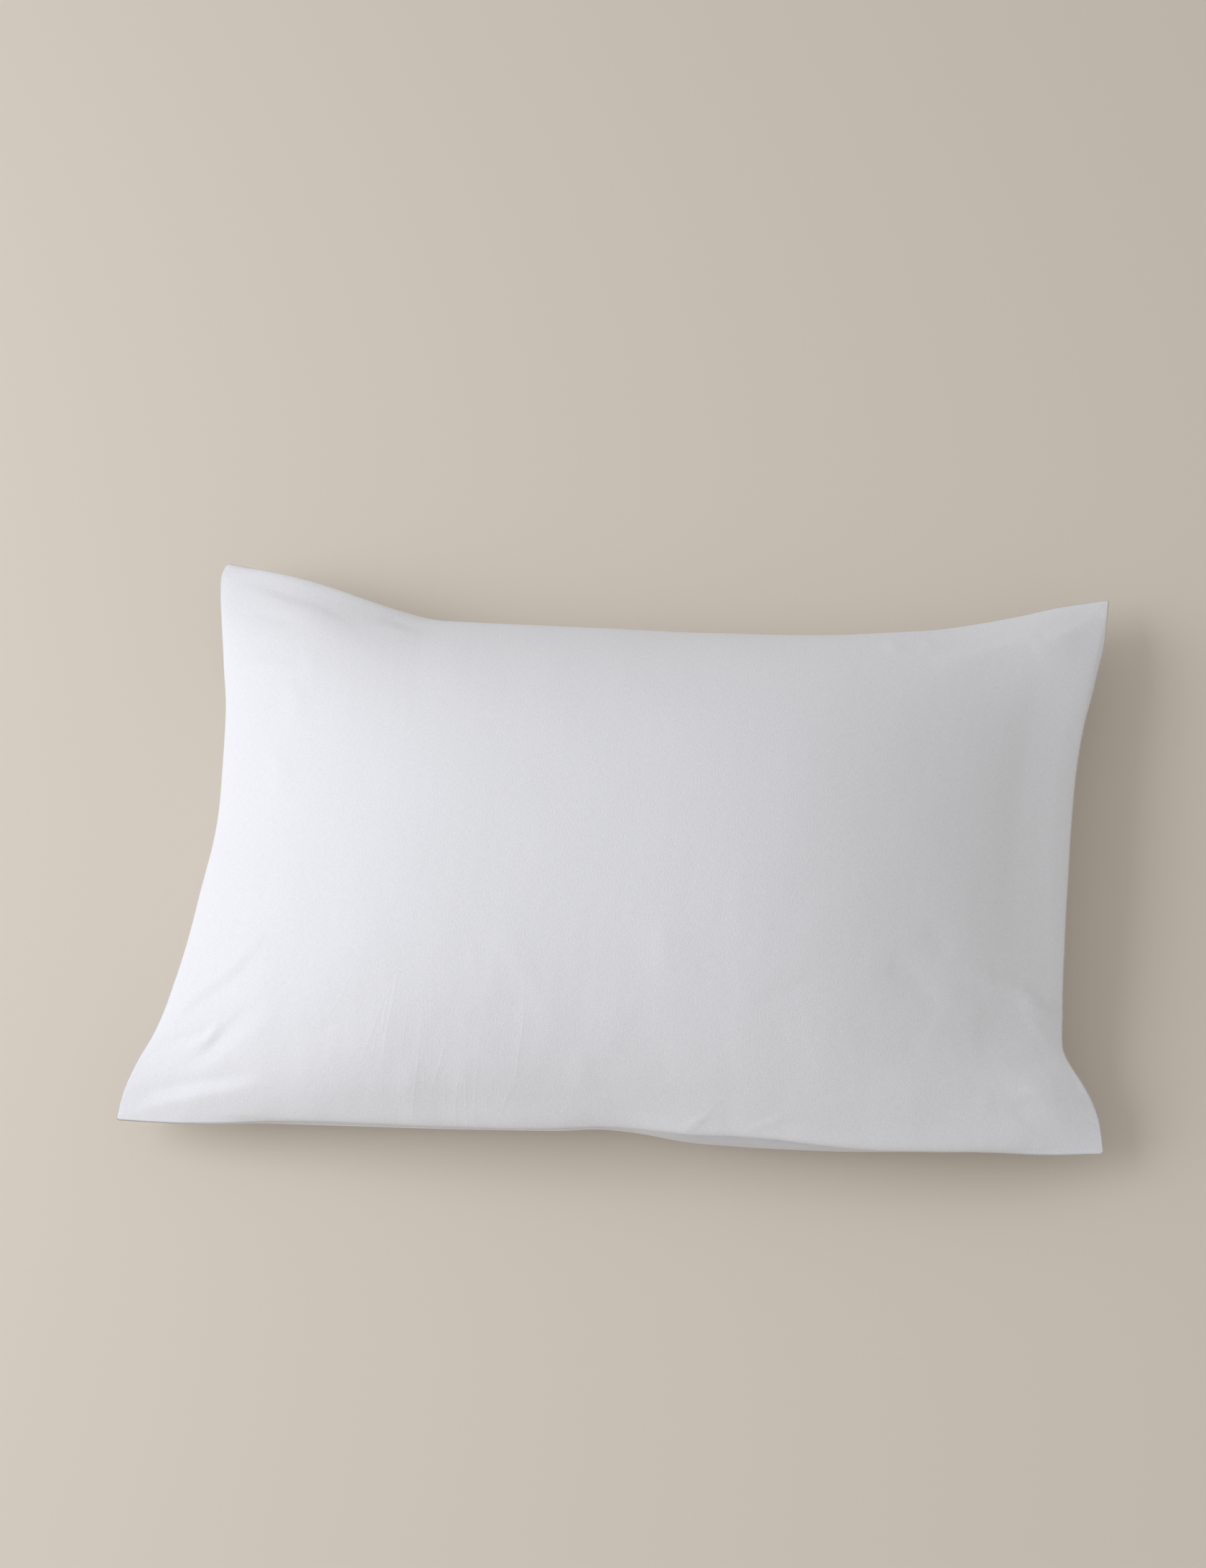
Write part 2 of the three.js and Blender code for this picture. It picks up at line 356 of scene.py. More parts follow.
# %% [markdown]
# ## Sewing
#
# Two separate grids could be joined afterwards by merging points that lie close together,
# but in the thin ears that might catch the wrong ones. Here the grids share their outer
# row of points from the start. That row is the seam, and the case is closed with nothing
# left to stitch. Each point keeps its place on the flat cloth in an attribute, with the
# side that it is on as a third number: 1 on the front, 0 at the seam, -1 on the back.

# %% Sewing the panels into one mesh
on_seam = np.zeros(grid_u.shape, bool)
on_seam[[0, -1], :] = True
on_seam[:, [0, -1]] = True


def sewn(front, back):
    """The values at all points of the case: the front's with the seam's, then the back's."""
    return np.concatenate([front.reshape(-1, front.shape[-1]), back[~on_seam]])


def sewn_quads():
    """The cells of both panels. Those of the back are turned, so that all face outwards."""
    front_index = np.arange(on_seam.size).reshape(on_seam.shape)
    back_index = front_index.copy()
    back_index[~on_seam] = on_seam.size + np.arange((~on_seam).sum())

    def quads(index, turn):
        corners = [index[:-1, :-1], index[1:, :-1], index[1:, 1:], index[:-1, 1:]]
        return np.stack(corners[::turn], axis=-1).reshape(-1, 4)

    return np.concatenate([quads(front_index, 1), quads(back_index, -1)])


def write_vectors(collection, kind, vectors):
    """Writes one vector for each point. Blender takes them all as one flat row of numbers."""
    collection.foreach_set(kind, vectors.astype(np.float32).ravel())


flat = sewn(front_flat, back_flat) * MM
front_side = np.where(on_seam, 0.0, 1.0)[..., None]
side = sewn(front_side, np.full_like(front_side, -1.0))[:, 0]
sewn_places = sewn(front_points, back_points) * MM + shift

sham_mesh = bpy.data.meshes.new("sham_case")
sham_mesh.from_pydata(sewn_places.tolist(), [], sewn_quads().tolist())
sham_mesh.validate()
sham = bpy.data.objects.new("sham_case", sham_mesh)
bpy.context.scene.collection.objects.link(sham)
pattern = sham_mesh.attributes.new("pattern", "FLOAT_VECTOR", "POINT")
write_vectors(pattern.data, "vector", np.column_stack([flat, side]))
print("sewn:", len(sham_mesh.vertices), "points,", len(sham_mesh.polygons), "quads")

# %% [markdown]
# ## Filling it
#
# The formula gives the size and the outline, but real cloth has a will of its own: it
# wants to be as long as it was cut. Blender's Cloth can find that. The sewn mesh gets a
# second shape, the flat cut, which Cloth takes as the rest shape. Pressure from inside
# stands for the filling. The seam and the flat patch on the floor are held, so the
# outline stays where the tables put it, and only the panels between them move.
#
# The cut is made a little smaller than the real one, which pulls the front smooth.

# %% The flat cut and the points that are held
TAUTNESS = 0.965
CUT_HALF_GAP = 0.5 * MM
FLOOR_CONTACT = 0.5 * MM


def add_flat_cut(piece):
    """Gives the piece a second shape, both panels flat and close together."""
    piece.shape_key_add(name="sewn")
    cut = piece.shape_key_add(name="flat_cut")
    write_vectors(cut.data, "co", np.column_stack([flat * TAUTNESS, CUT_HALF_GAP * side]))
    cut.value = 0.0
    return cut


def hold_points(piece):
    """A group of the points that stay: the seam, and the back where it lies on the floor."""
    on_floor = (side < 0) & (sewn_places[:, 2] < FLOOR_CONTACT)
    held = np.flatnonzero((side == 0) | on_floor)
    group = piece.vertex_groups.new(name="held")
    group.add(held.tolist(), 1.0, "REPLACE")
    return group


# %% [markdown]
# ## Running the cloth
#
# The threads of woven cotton hardly stretch, but the cloth bends easily, and the settings
# say so. The mass is small and the air thick, so the cloth comes to rest within a few
# dozen frames. The result could stay in the modifier, but then it would depend on a cache.
# Reading the points once and clearing everything away leaves an ordinary mesh.
#
# In case a corner runs wild, no point may move further than a set distance.

# %% Cloth simulation
SIM_FRAMES = 36
MOVE_LIMIT = 12 * MM
TINY = 1e-9


def read_vectors(collection, kind):
    """The vectors of all points, one row for each."""
    values = np.empty(len(collection) * 3, np.float32)
    collection.foreach_get(kind, values)
    return values.reshape(-1, 3).astype(float)


def simulate(piece):
    """Runs the cloth with the flat cut as its rest shape, and returns the points' places."""
    cut = add_flat_cut(piece)
    held = hold_points(piece)
    cloth = piece.modifiers.new("filling", "CLOTH")
    settings = cloth.settings
    settings.quality = 6
    settings.mass = 0.02
    settings.tension_stiffness = 40
    settings.compression_stiffness = 40
    settings.shear_stiffness = 10
    settings.bending_stiffness = 0.3
    settings.air_damping = 4
    settings.rest_shape_key = cut
    settings.vertex_group_mass = held.name
    settings.pin_stiffness = 1
    settings.use_pressure = True
    settings.uniform_pressure_force = 4
    settings.effector_weights.gravity = 0
    cloth.point_cache.frame_end = SIM_FRAMES
    for number in range(1, SIM_FRAMES + 1):
        bpy.context.scene.frame_set(number)
    filled = piece.evaluated_get(bpy.context.evaluated_depsgraph_get())
    result = read_vectors(filled.to_mesh().vertices, "co")
    filled.to_mesh_clear()
    piece.modifiers.remove(cloth)
    piece.shape_key_clear()
    piece.vertex_groups.clear()
    bpy.context.scene.frame_set(1)
    return result


moved = simulate(sham) - sewn_places
distance = np.linalg.norm(moved, axis=1)
print("cloth moved", round(distance.mean() / MM, 2), "mm on average")
print("and", round(distance.max() / MM, 2), "mm at most")
kept_share = MOVE_LIMIT * np.tanh(distance / MOVE_LIMIT) / np.maximum(distance, TINY)
write_vectors(sham_mesh.vertices, "co", sewn_places + moved * kept_share[:, None])
sham_mesh.update()

# %% [markdown]
# ## A finer mesh
#
# The cells are up to 8 mm wide, which is right for the cloth simulation but too coarse for
# a fold that is 3 mm wide. Simulating a finer mesh would take many times longer. One level
# of subdivision halves the cells afterwards and rounds them, and the flat pattern in the
# attribute is divided along with them.

# %% Subdivision
def apply_modifier(piece, modifier):
    """Makes a modifier's result the piece's own mesh."""
    with bpy.context.temp_override(object=piece, active_object=piece, selected_objects=[piece]):
        bpy.ops.object.modifier_apply(modifier=modifier.name)


finer = sham.modifiers.new("finer", "SUBSURF")
finer.levels = 1
apply_modifier(sham, finer)
sham_mesh = sham.data
print("subdivided:", len(sham_mesh.vertices), "points")

# %% [markdown]
# ## Folds placed one by one
#
# A simulation never puts a fold where the real cloth happens to have one, so the folds
# that give this sham its character are placed one by one. They could be sculpted, but a table
# can be read and corrected. Each fold is a short line on the front panel. Its cloth rises
# to a ridge along the line, or sinks to a trough. A real fold is seldom alike on both
# sides: it climbs gently from one side and drops quickly on the other, so every row has
# two widths, left and right of the line as it is drawn. The height fades out towards both
# ends.

# %% Measuring along a fold
STEPS_BETWEEN_POINTS = 6


def smooth_line(points):
    """A smooth line through its points, as a chain of short straight steps."""
    points = np.array(points, float)
    ends = np.vstack([2 * points[0] - points[1], points, 2 * points[-1] - points[-2]])
    t = np.linspace(0, 1, STEPS_BETWEEN_POINTS, endpoint=False)[:, None]
    parts = []
    for before, a, b, after in zip(ends, ends[1:], ends[2:], ends[3:]):
        bend = (2 * before - 5 * a + 4 * b - after) * t**2 + (3 * a - before - 3 * b + after) * t**3
        parts.append(a + ((b - before) * t + bend) / 2)
    return np.vstack(parts + [points[-1:]])


def measure_to(line, x, y):
    """Distance to the line, how far along it that is from 0 to 1, and on which side."""
    nearest = np.full(x.shape, np.inf)
    share = np.zeros(x.shape)
    left = np.zeros(x.shape, bool)
    for number, (a, b) in enumerate(zip(line[:-1], line[1:])):
        along = b - a
        length = math.hypot(*along)
        t = np.clip(((x - a[0]) * along[0] + (y - a[1]) * along[1]) / length**2, 0, 1)
        distance = np.hypot(x - a[0] - t * along[0], y - a[1] - t * along[1])
        closer = distance < nearest
        nearest = np.where(closer, distance, nearest)
        share = np.where(closer, (number + t) / (len(line) - 1), share)
        left = np.where(closer, along[0] * (y - a[1]) > along[1] * (x - a[0]), left)
    return nearest, share, left


# %% [markdown]
# ## The shape of one fold
#
# Across its line a fold falls away like a bell, a little sharper at the top than a true
# one, because cloth creases. Along its line the height follows a sine. All heights are
# added up first, and the points move only once, along the panel's own direction. Moving
# them fold by fold would make each fold depend on the ones before it.

# %% The height of a fold
# 2 would be a round bell and 1 a pointed tent
RIDGE_POWER = 1.6
# below 1 it keeps a fold high until nearer to its ends
FADE_POWER = 0.8
FADE_ENDS = (0.02, 0.98)

places = read_vectors(sham_mesh.vertices, "co")
normals = read_vectors(sham_mesh.vertex_normals, "vector")
cloth_place = read_vectors(sham_mesh.attributes["pattern"].data, "vector")
cloth_side = cloth_place[:, 2]
table_x, table_y = ((places - shift) / MM)[:, :2].T
from_seam = cloth_place[:, 1] / MM + FLAT_WIDTH / 2
raised = np.zeros(len(places))


def fold_height(x, y, points, left_width, right_width, height):
    """The height that one fold adds at x and y."""
    nearest, share, left = measure_to(smooth_line(points), x, y)
    width = np.where(left, left_width, right_width)
    fade = np.sin(math.pi * np.clip(share, *FADE_ENDS)) ** FADE_POWER
    return height * fade * np.exp(-((nearest / width) ** RIDGE_POWER))


def raise_folds(folds, x, y):
    """Adds a table of folds to the heights of the points at x and y."""
    for name, points, left_width, right_width, height in folds:
        raised[:] += fold_height(x, y, points, left_width, right_width, height)
    lowest, highest = round(raised.min(), 1), round(raised.max(), 1)
    print(len(folds), "folds, all heights now lie between", lowest, "and", highest, "mm")


# %% [markdown]
# ## The lower left ear
#
# Where the filling ends, the front panel is pulled into a fan of small folds that run out
# into the ear. A long trough and a long ridge follow the lower seam to the tip. The fan
# could be one pleated shape, but its folds differ so much that each has a row of its own.
# In this table and the next ones the columns are the points that the line passes through,
# the width to its left, the width to its right, and the height of the ridge, or of a
# trough if it is negative. All of it is in millimetres.

# %% Folds of the lower left ear
LOWER_LEFT_FOLDS = [
    ("upper fold of the fan",
     [(-324, -168), (-304, -152), (-280, -141), (-262, -126), (-252, -112)], 14, 5, 1.3),
    ("trough below it",
     [(-324, -176), (-306, -160), (-283, -148), (-268, -136), (-256, -122)], 4, 12, -1.1),
    ("dark tail at the side", [(-336, -188), (-318, -184), (-300, -182), (-284, -176)], 3.5, 4, -1.7),
    ("short bright ridge", [(-308, -191), (-295, -188), (-288, -182), (-284, -174)], 4, 3, 1.1),
    ("pocket of the fan",
     [(-316, -203), (-298, -198), (-286, -190), (-272, -177), (-246, -162)], 3.5, 9, -1.2),
    ("soft ridge inside", [(-308, -212), (-282, -201), (-260, -188), (-232, -173)], 6, 9, 0.9),
    ("long trough of the ear",
     [(-354, -224), (-328, -219), (-302, -216), (-278, -215), (-252, -213)], 6, 4, -1.5),
    ("long ridge of the ear",
     [(-358, -239), (-332, -230), (-304, -225), (-276, -222), (-244, -218)], 4, 7, 1.5),
]
raise_folds(LOWER_LEFT_FOLDS, table_x, table_y)

# %% [markdown]
# ## The right end
#
# The kink in the right seam comes from one strong fold, which runs into it from the panel
# and has a dark hollow above it. The ear below has a softer ridge. Above the kink a flat
# strip of cloth lies along the seam, where the filling stops short of it. A sharp fold is
# a broad row with a narrow one on top, because one row can't be both.

# %% Folds of the lower right ear and the right side
LOWER_RIGHT_FOLDS = [
    ("ridge into the kink",
     [(246, -121), (263, -120), (276, -121), (287, -121.5), (297, -122.5), (305, -125),
      (313, -126), (325, -126)], 12, 3.5, 2.6),
    ("sharp end of that ridge",
     [(290, -121), (299, -124), (308, -127), (316, -129), (326, -130)], 8, 2.5, 1.9),
    ("dark hollow above it", [(272, -113), (290, -112), (305, -114), (316, -120)], 7, 6, -1.6),
    ("fold that turns down",
     [(295, -125), (299, -131), (303, -137), (308, -142), (313, -147), (318, -154)], 11, 2.5, 0.8),
    ("ridge of the ear", [(270, -184), (290, -186), (306, -187.5), (324, -188)], 10, 5, 0.8),
    ("sharp end of the ear's ridge",
     [(294, -187), (308, -188), (322, -188.5), (336, -188.5), (352, -189)], 8, 2.5, 1.6),
    ("bright rim of the ear", [(274, -190), (272, -199), (270, -210)], 7, 8, 0.3),
    ("dark spot beside it", [(296, -192), (299, -200), (296, -208)], 26, 14, -0.9),
    ("shallow trough", [(200, -119), (210, -124), (222, -130), (232, -138), (243, -146)], 10, 11, -1.4),
    ("swelling beside it", [(248, -156), (259, -146), (272, -136)], 9, 9, 0.5),
    ("faint hollow higher up", [(226, -88), (236, -98), (246, -106)], 12, 10, -0.8),
    ("edge of the flat strip",
     [(318, 180), (300, 99), (291, 20), (288, -60), (292, -104)], 16, 16, -1.2),
    ("flat strip", [(340, 180), (326, 102), (318, 40), (316, -50), (319, -98)], 14, 12, 1.1),
    ("dimple at the right edge", [(326, 99), (330, 94), (333, 89)], 4, 4, -0.5),
]
raise_folds(LOWER_RIGHT_FOLDS, table_x, table_y)

# %% [markdown]
# ## The upper side
#
# A shallow groove runs along the upper left edge, with a ridge under it and a dimple at
# its end, and the upper right ear is plumped up along its middle. Soft bulges follow the
# left side. The three rims lie just inside the seam. They could be left out, but then the
# panel turns down too soon and shows a dark outline, whereas the filling of a real one
# reaches right up to its seam.

# %% Folds of the upper side and the left side
UPPER_FOLDS = [
    ("groove along the upper left edge",
     [(-350, 218), (-320, 211), (-292, 198), (-263, 185), (-241, 170), (-216, 154)], 9, 3.5, -0.45),
    ("ridge below the groove",
     [(-346, 208), (-316, 200), (-288, 186), (-262, 173), (-236, 156)], 4, 12, 0.4),
    ("wrinkle at the upper left edge", [(-346, 223), (-328, 225), (-309, 223)], 3, 3, 0.4),
    ("dimple at the upper edge", [(-212, 168), (-200, 168), (-188, 163), (-176, 160)], 6, 4, -0.65),
    ("rim of the dimple", [(-214, 156), (-198, 155), (-184, 150), (-170, 150)], 4, 8, 0.6),
    ("faint wrinkle in the ear", [(-322, 182), (-298, 172), (-272, 160)], 8, 8, -0.7),
    ("faint band in the ear", [(-336, 133), (-302, 125), (-264, 112)], 6, 6, 0.6),
    ("wrinkle at the left side", [(-314, 69), (-300, 73), (-288, 77), (-262, 79)], 4, 3, 0.6),
    ("upper bulge at the left side", [(-263, 132), (-254, 114), (-253, 94)], 10, 6, 0.5),
    ("middle bulge at the left side", [(-277, 104), (-262, 86), (-258, 73), (-262, 54)], 12, 7, 0.8),
    ("lower bulge at the left side", [(-276, 42), (-263, 17), (-264, -4)], 12, 7, 0.6),
    ("swelling near the upper right ear",
     [(222, 134), (245, 144), (269, 156), (292, 170), (306, 181)], 8, 15, 1.9),
    ("swelling of the upper right ear", [(296, 165), (314, 174), (334, 191), (354, 210)], 7, 15, 1.8),
    ("first unevenness of the upper edge", [(197, 141), (195, 152), (193, 163)], 7, 7, 0.5),
    ("second unevenness", [(223, 148), (221, 158), (219, 168)], 8, 7, 0.4),
    ("rim of the upper left side",
     [(-354, 233), (-320, 227), (-290, 218), (-262, 208), (-232, 196), (-205, 187),
      (-170, 178)], 2.5, 9, 3.4),
    ("rim of the upper side",
     [(-200, 185), (-120, 174), (-40, 168), (40, 168), (120, 174)], 3, 13, 2.4),
    ("rim of the right side",
     [(360, 222), (352, 185), (344, 145), (337, 105), (331, 60), (328, 10), (326, -40),
      (325, -90), (325, -140)], 3, 11, 2.6),
]
raise_folds(UPPER_FOLDS, table_x, table_y)

# %% [markdown]
# ## The lower side
#
# Low down the front panel turns towards the floor in soft bulges, with fine creases
# between them where the weight pulls the cloth. The bulges could come from noise alone,
# but noise has no direction, and most of these run down to the seam.

# %% Folds of the lower side
LOWER_FOLDS = [
    ("turn of the lower side",
     [(-262, -228), (-227, -224), (-161, -220), (-67, -214), (30, -213)], 28, 12, 1.3),
    ("turn on the right", [(190, -224), (240, -221), (290, -213), (336, -200)], 24, 12, 0.9),
    ("short ridge in the middle", [(45, -106), (45, -121), (47, -133), (44, -147)], 10, 9, 0.6),
    ("faint diagonal trough",
     [(104, -167), (118, -157), (132, -149), (148, -139), (166, -130)], 5, 7, -0.3),
    ("left of the vee", [(-211, -174), (-207, -182), (-203, -190)], 2.5, 2.5, -0.35),
    ("right of the vee", [(-204, -189), (-196, -184), (-182, -180)], 2.5, 2.5, -0.35),
    ("first fine crease", [(-143, -146), (-147, -169), (-152, -196), (-155, -222)], 3, 2.5, 0.15),
    ("second fine crease", [(-124, -172), (-127, -200), (-131, -220), (-137, -240)], 3, 2.5, 0.18),
    ("third fine crease", [(-52, -160), (-52, -180), (-55, -197), (-58, -214)], 3, 2.5, 0.24),
    ("fourth fine crease", [(-106, -196), (-112, -206), (-120, -220)], 2.5, 2.5, 0.15),
    ("fifth fine crease", [(-97, -112), (-92, -132), (-88, -156)], 3.5, 2.5, 0.18),
    ("soft diagonal ridge",
     [(-76, -117), (-64, -134), (-54, -145), (-40, -162), (-22, -183)], 13, 6, 0.45),
    ("first bulge of the turn", [(-136, -202), (-135, -213), (-138, -226)], 9, 6, 0.45),
    ("second bulge of the turn", [(-96, -197), (-95, -209), (-97, -224)], 12, 6, 0.55),
    ("third bulge of the turn", [(-12, -191), (-10, -203), (-11, -218)], 9, 6, 0.6),
]
raise_folds(LOWER_FOLDS, table_x, table_y)

# %% [markdown]
# ## Over the lower seam
#
# The cloth hangs over the tucked seam like the edge of a cushion that stands on a shelf,
# and the lip lies under it. These rows have to follow the seam closely, so they are
# measured from it: x runs along the lower seam, and y is how far the cloth is from it.
# Rows with plain x and y would cut across the seam wherever it bends.

# %% Folds along the lower seam
EDGE_FOLDS = [
    ("cloth that hangs over the seam",
     [(-250, 9), (-150, 10), (-60, 12), (-6, 13), (40, 14), (100, 14)], 20, 6, 7.0),
    ("cloth that hangs over the lip", [(30, 15), (80, 15), (140, 13), (190, 9)], 9, 3.5, 2.6),
    ("cloth that hangs over the right half", [(130, 11), (190, 9), (240, 8), (310, 7)], 12, 5, 4.5),
    ("groove above the lip", [(24, 5), (60, 9), (107, 9), (150, 7), (190, 4)], 3.5, 4, -5.5),
    ("rim of the lip", [(40, 3), (80, 4), (120, 3.5), (170, 2)], 3, 2.5, 1.4),
    ("start of the lip", [(16, 2), (34, 5), (62, 9)], 3, 3, -1.2),
    ("short crease over the lip", [(62, 17), (71, 25), (80, 33)], 1.8, 1.2, 1.1),
    ("second short crease", [(108, 20), (120, 27), (138, 35)], 2.2, 3, 0.6),
]
raise_folds(EDGE_FOLDS, table_x, from_seam)

# %% [markdown]
# ## The filling in the right ears
#
# The two right ears hold more filling than the swelling formula gives them. A fold row
# could raise them, but a fold so broad shows a crease where its line ends. A round hill
# that fades to nothing all around leaves no such mark.

# %% Broad swellings, in millimetres
# columns: the middle in x and y, how far it reaches in x and in y, the height there
SWELLINGS = [
    ("filling of the lower right ear", 314, -192, 36, 34, 5.0),
    ("filling of the upper right ear", 318, 166, 36, 42, 4.0),
]
for name, x, y, reach_x, reach_y, height in SWELLINGS:
    raised += height * np.exp(-(((table_x - x) / reach_x) ** 2) - ((table_y - y) / reach_y) ** 2)
print("the front panel is raised from", round(raised.min(), 1), "to", round(raised.max(), 1), "mm")

# %% [markdown]
# ## Cloth that is never quite even
#
# Between the folds the filling pushes unevenly and the cloth puckers a little, mostly low
# down, where the weight rests. Blender's Displace modifier with a cloud texture could do
# it, but that doesn't know the threads or where the weight is. Here two sizes of smooth
# noise are read at the flat pattern, a little longer across the width, because pulled
# cloth puckers along the pull.

# %% Soft unevenness
# columns: size along the length and across the width, height, all in millimetres
UNEVENNESS = [
    ("filling", 42, 50, 0.52),
    ("puckers", 12, 20, 0.11),
]
WEIGHT_BEGINS = 20 * MM
WEIGHT_IS_FULL = -200 * MM
SHARE_EVERYWHERE = 0.5
SHARE_ADDED_BELOW = 0.9


def smooth_step(first, last, value):
    """0 up to the first value, 1 from the last one, with a soft step between them."""
    t = np.clip((value - first) / (last - first), 0, 1)
    return t * t * (3 - 2 * t)


def noise_waves(long_size, wide_size):
    """Smooth noise at every point of the cloth, from about -1 to 1."""
    scale = Vector((1 / (long_size * MM), 1 / (wide_size * MM), 1))
    waves = [noise.noise(Vector((x * scale.x, y * scale.y, z))) for x, y, z in cloth_place.tolist()]
    return np.array(waves)


lower_share = smooth_step(WEIGHT_BEGINS, WEIGHT_IS_FULL, cloth_place[:, 1])
strength = SHARE_EVERYWHERE + SHARE_ADDED_BELOW * lower_share
for name, long_size, wide_size, height in UNEVENNESS:
    raised += height * strength * noise_waves(long_size, wide_size)
print("uneven by up to", round(strength.max(), 1), "times the heights of the table")

# %% [markdown]
# ## Moving the points
#
# All heights are known now, and the points move outwards by them. The folds belong to the
# front panel, so the heights fade to nothing at the seam and on the back. Last, the seam
# under the overhang is tucked in a little further. This could be one more column of the
# seam's own tables, but then the cloth over it would be drawn in as well.

# %% Raised front and tucked seam
FRONT_FROM = 0.6
TUCK_REACH = 6
# columns: x along the lower side, how far the seam is tucked in under the overhang
TUCK = [
    (-400, 0), (-290, 0), (-240, 2), (-182, 5), (-128, 6), (-75, 5), (-32, 6), (0, 6), (21, 4),
    (40, 0), (140, 0), (175, 2), (220, 3), (280, 2), (330, 0), (400, 0),
]

raised *= smooth_step(0.0, FRONT_FROM, cloth_side)
places += normals * raised[:, None] * MM
tucked_in = read_table(TUCK, table_x)[0] * np.exp(-((from_seam / TUCK_REACH) ** 2))
places[:, 1] += tucked_in * MM
print("the seam is tucked in by up to", round(tucked_in.max(), 1), "mm")

# %% [markdown]
# ## The groove and the tips
#
# A turned seam is a fine groove between two soft rolls of cloth. The seam itself is pulled
# in a little, so that the rolls on both sides of it form the outline. A bevel couldn't do
# that, because it only takes corners off. The four tips of a turned case are never sharp,
# because the cloth inside them is too thick to fold in fully. Near a tip the square corner
# of the cloth is drawn in to a quarter circle.

# %% Seam groove and rounded tips
SEAM_GROOVE = 0.9 * MM
TIP_RADIUS = 3.5 * MM
AT_SEAM_SIDE = 1e-4
AT_SEAM_EDGE = 0.01 * MM
on_edge = np.abs(cloth_side) < AT_SEAM_SIDE
outwards = np.sign(cloth_place[:, :2])
from_edges = np.array([FLAT_LENGTH, FLAT_WIDTH]) / 2 * MM - np.abs(cloth_place[:, :2])
places[:, :2] -= outwards * SEAM_GROOVE * (on_edge[:, None] & (from_edges < AT_SEAM_EDGE))

inside = np.clip(1 - from_edges / TIP_RADIUS, 0, 1)
shrink = 1 - inside.max(axis=1) / np.maximum(np.hypot(inside[:, 0], inside[:, 1]), TINY)
places[:, :2] -= outwards * inside * TIP_RADIUS * shrink[:, None]
places[:, 2] = np.maximum(places[:, 2], 0.0)
write_vectors(sham_mesh.vertices, "co", places)
sham_mesh.update()
print(int(on_edge.sum()), "points lie on the seam")

# %% [markdown]
# ## Press lines
#
# Where the case was folded before it was filled, hair-thin press lines are left. They are
# finer than the mesh. They could be drawn in an image, but that has a size of its own and
# blurs close up. So the mesh only carries the distance to the nearest line, and the
# material turns that distance into a sharp little ridge.

# %% Press lines, in millimetres
PRESS_LINES = [
    [(-143, -140), (-147, -169), (-152, -196), (-155, -226)],
    [(-124, -166), (-127, -200), (-131, -220), (-138, -242)],
    [(-52, -146), (-52, -180), (-55, -197), (-58, -218)],
    [(-106, -190), (-112, -206), (-120, -224)],
    [(-98, -210), (-101, -222), (-104, -240)],
    [(-151, -160), (-160, -184), (-170, -206)],
    [(-84, -196), (-86, -216), (-90, -236)],
    [(-180, -150), (-186, -164), (-196, -178)],
    [(70, -226), (79, -222), (92, -212)],
    [(-56, -210), (-64, -220), (-74, -232)],
]
FAR = 50.0
PRESS_FADE_POWER = 0.7
PRESSED_FROM = 0.5
press = np.full((len(places), 2), (FAR, 0.0))
for points in PRESS_LINES:
    nearest, share, left = measure_to(smooth_line(points), table_x, table_y)
    closer = nearest < np.abs(press[:, 0])
    signed = np.where(left, nearest, -nearest)
    press[closer, 0] = signed[closer]
    press[closer, 1] = np.sin(math.pi * np.clip(share[closer], 0, 1)) ** PRESS_FADE_POWER
# only the front panel has them, not the seam or the back
press[cloth_side < PRESSED_FROM] = (FAR, 0.0)
press_place = sham_mesh.attributes.new("press", "FLOAT_VECTOR", "POINT")
write_vectors(press_place.data, "vector", np.column_stack([press, np.zeros(len(press))]))
print(len(PRESS_LINES), "press lines")

# %% [markdown]
# ## Cotton
#
# White cotton is matt, with a faint sheen from the fibres that stand up from it. White
# alone would look like paper until three small things are there: the weave, the fine
# crinkle of washed cloth, and a little unevenness of tone. All of them are made by nodes.
# Images could hold them too, but nodes stay sharp at any distance.

# %% Cotton's finish
COTTON_FINISH = {
    "Roughness": 0.88,
    "Specular IOR Level": 0.25,
    "Sheen Weight": 0.15,
    "Sheen Roughness": 0.5,
}


def new_material(name, finish):
    """A material whose shader has the given finish."""
    material = bpy.data.materials.new(name)
    material.use_nodes = True
    for socket, value in finish.items():
        material.node_tree.nodes["Principled BSDF"].inputs[socket].default_value = value
    return material


cotton = new_material("white_cotton", COTTON_FINISH)
nodes = cotton.node_tree.nodes
links = cotton.node_tree.links
shader = nodes["Principled BSDF"]
print("cotton starts with", len(nodes), "nodes")

# %% [markdown]
# ## Textures that follow the cloth
#
# A texture usually reads the object's own axes. On a crowned form it would then stretch
# down the sides. These read the flat pattern instead, so the threads run along the panel
# and turn with it, and the scale of a noise is the number of its waves to a metre of cloth.

# %% Small helpers for nodes
# the bands of a wave texture lie this far apart in its own units
WAVE_PERIOD = 0.314


def attribute(name):
    reader = nodes.new("ShaderNodeAttribute")
    reader.attribute_name = name
    return reader.outputs["Vector"]


cloth_coordinates = attribute("pattern")


def stretched(scale):
    """The flat pattern's coordinates, scaled along the length and across the width."""
    mapping = nodes.new("ShaderNodeMapping")
    mapping.inputs["Scale"].default_value = scale
    links.new(cloth_coordinates, mapping.inputs["Vector"])
    return mapping.outputs["Vector"]


def smooth_noise(scale, detail, roughness):
    texture = nodes.new("ShaderNodeTexNoise")
    texture.inputs["Scale"].default_value = 1.0
    texture.inputs["Detail"].default_value = detail
    texture.inputs["Roughness"].default_value = roughness
    links.new(stretched(scale), texture.inputs["Vector"])
    return texture.outputs["Fac"]


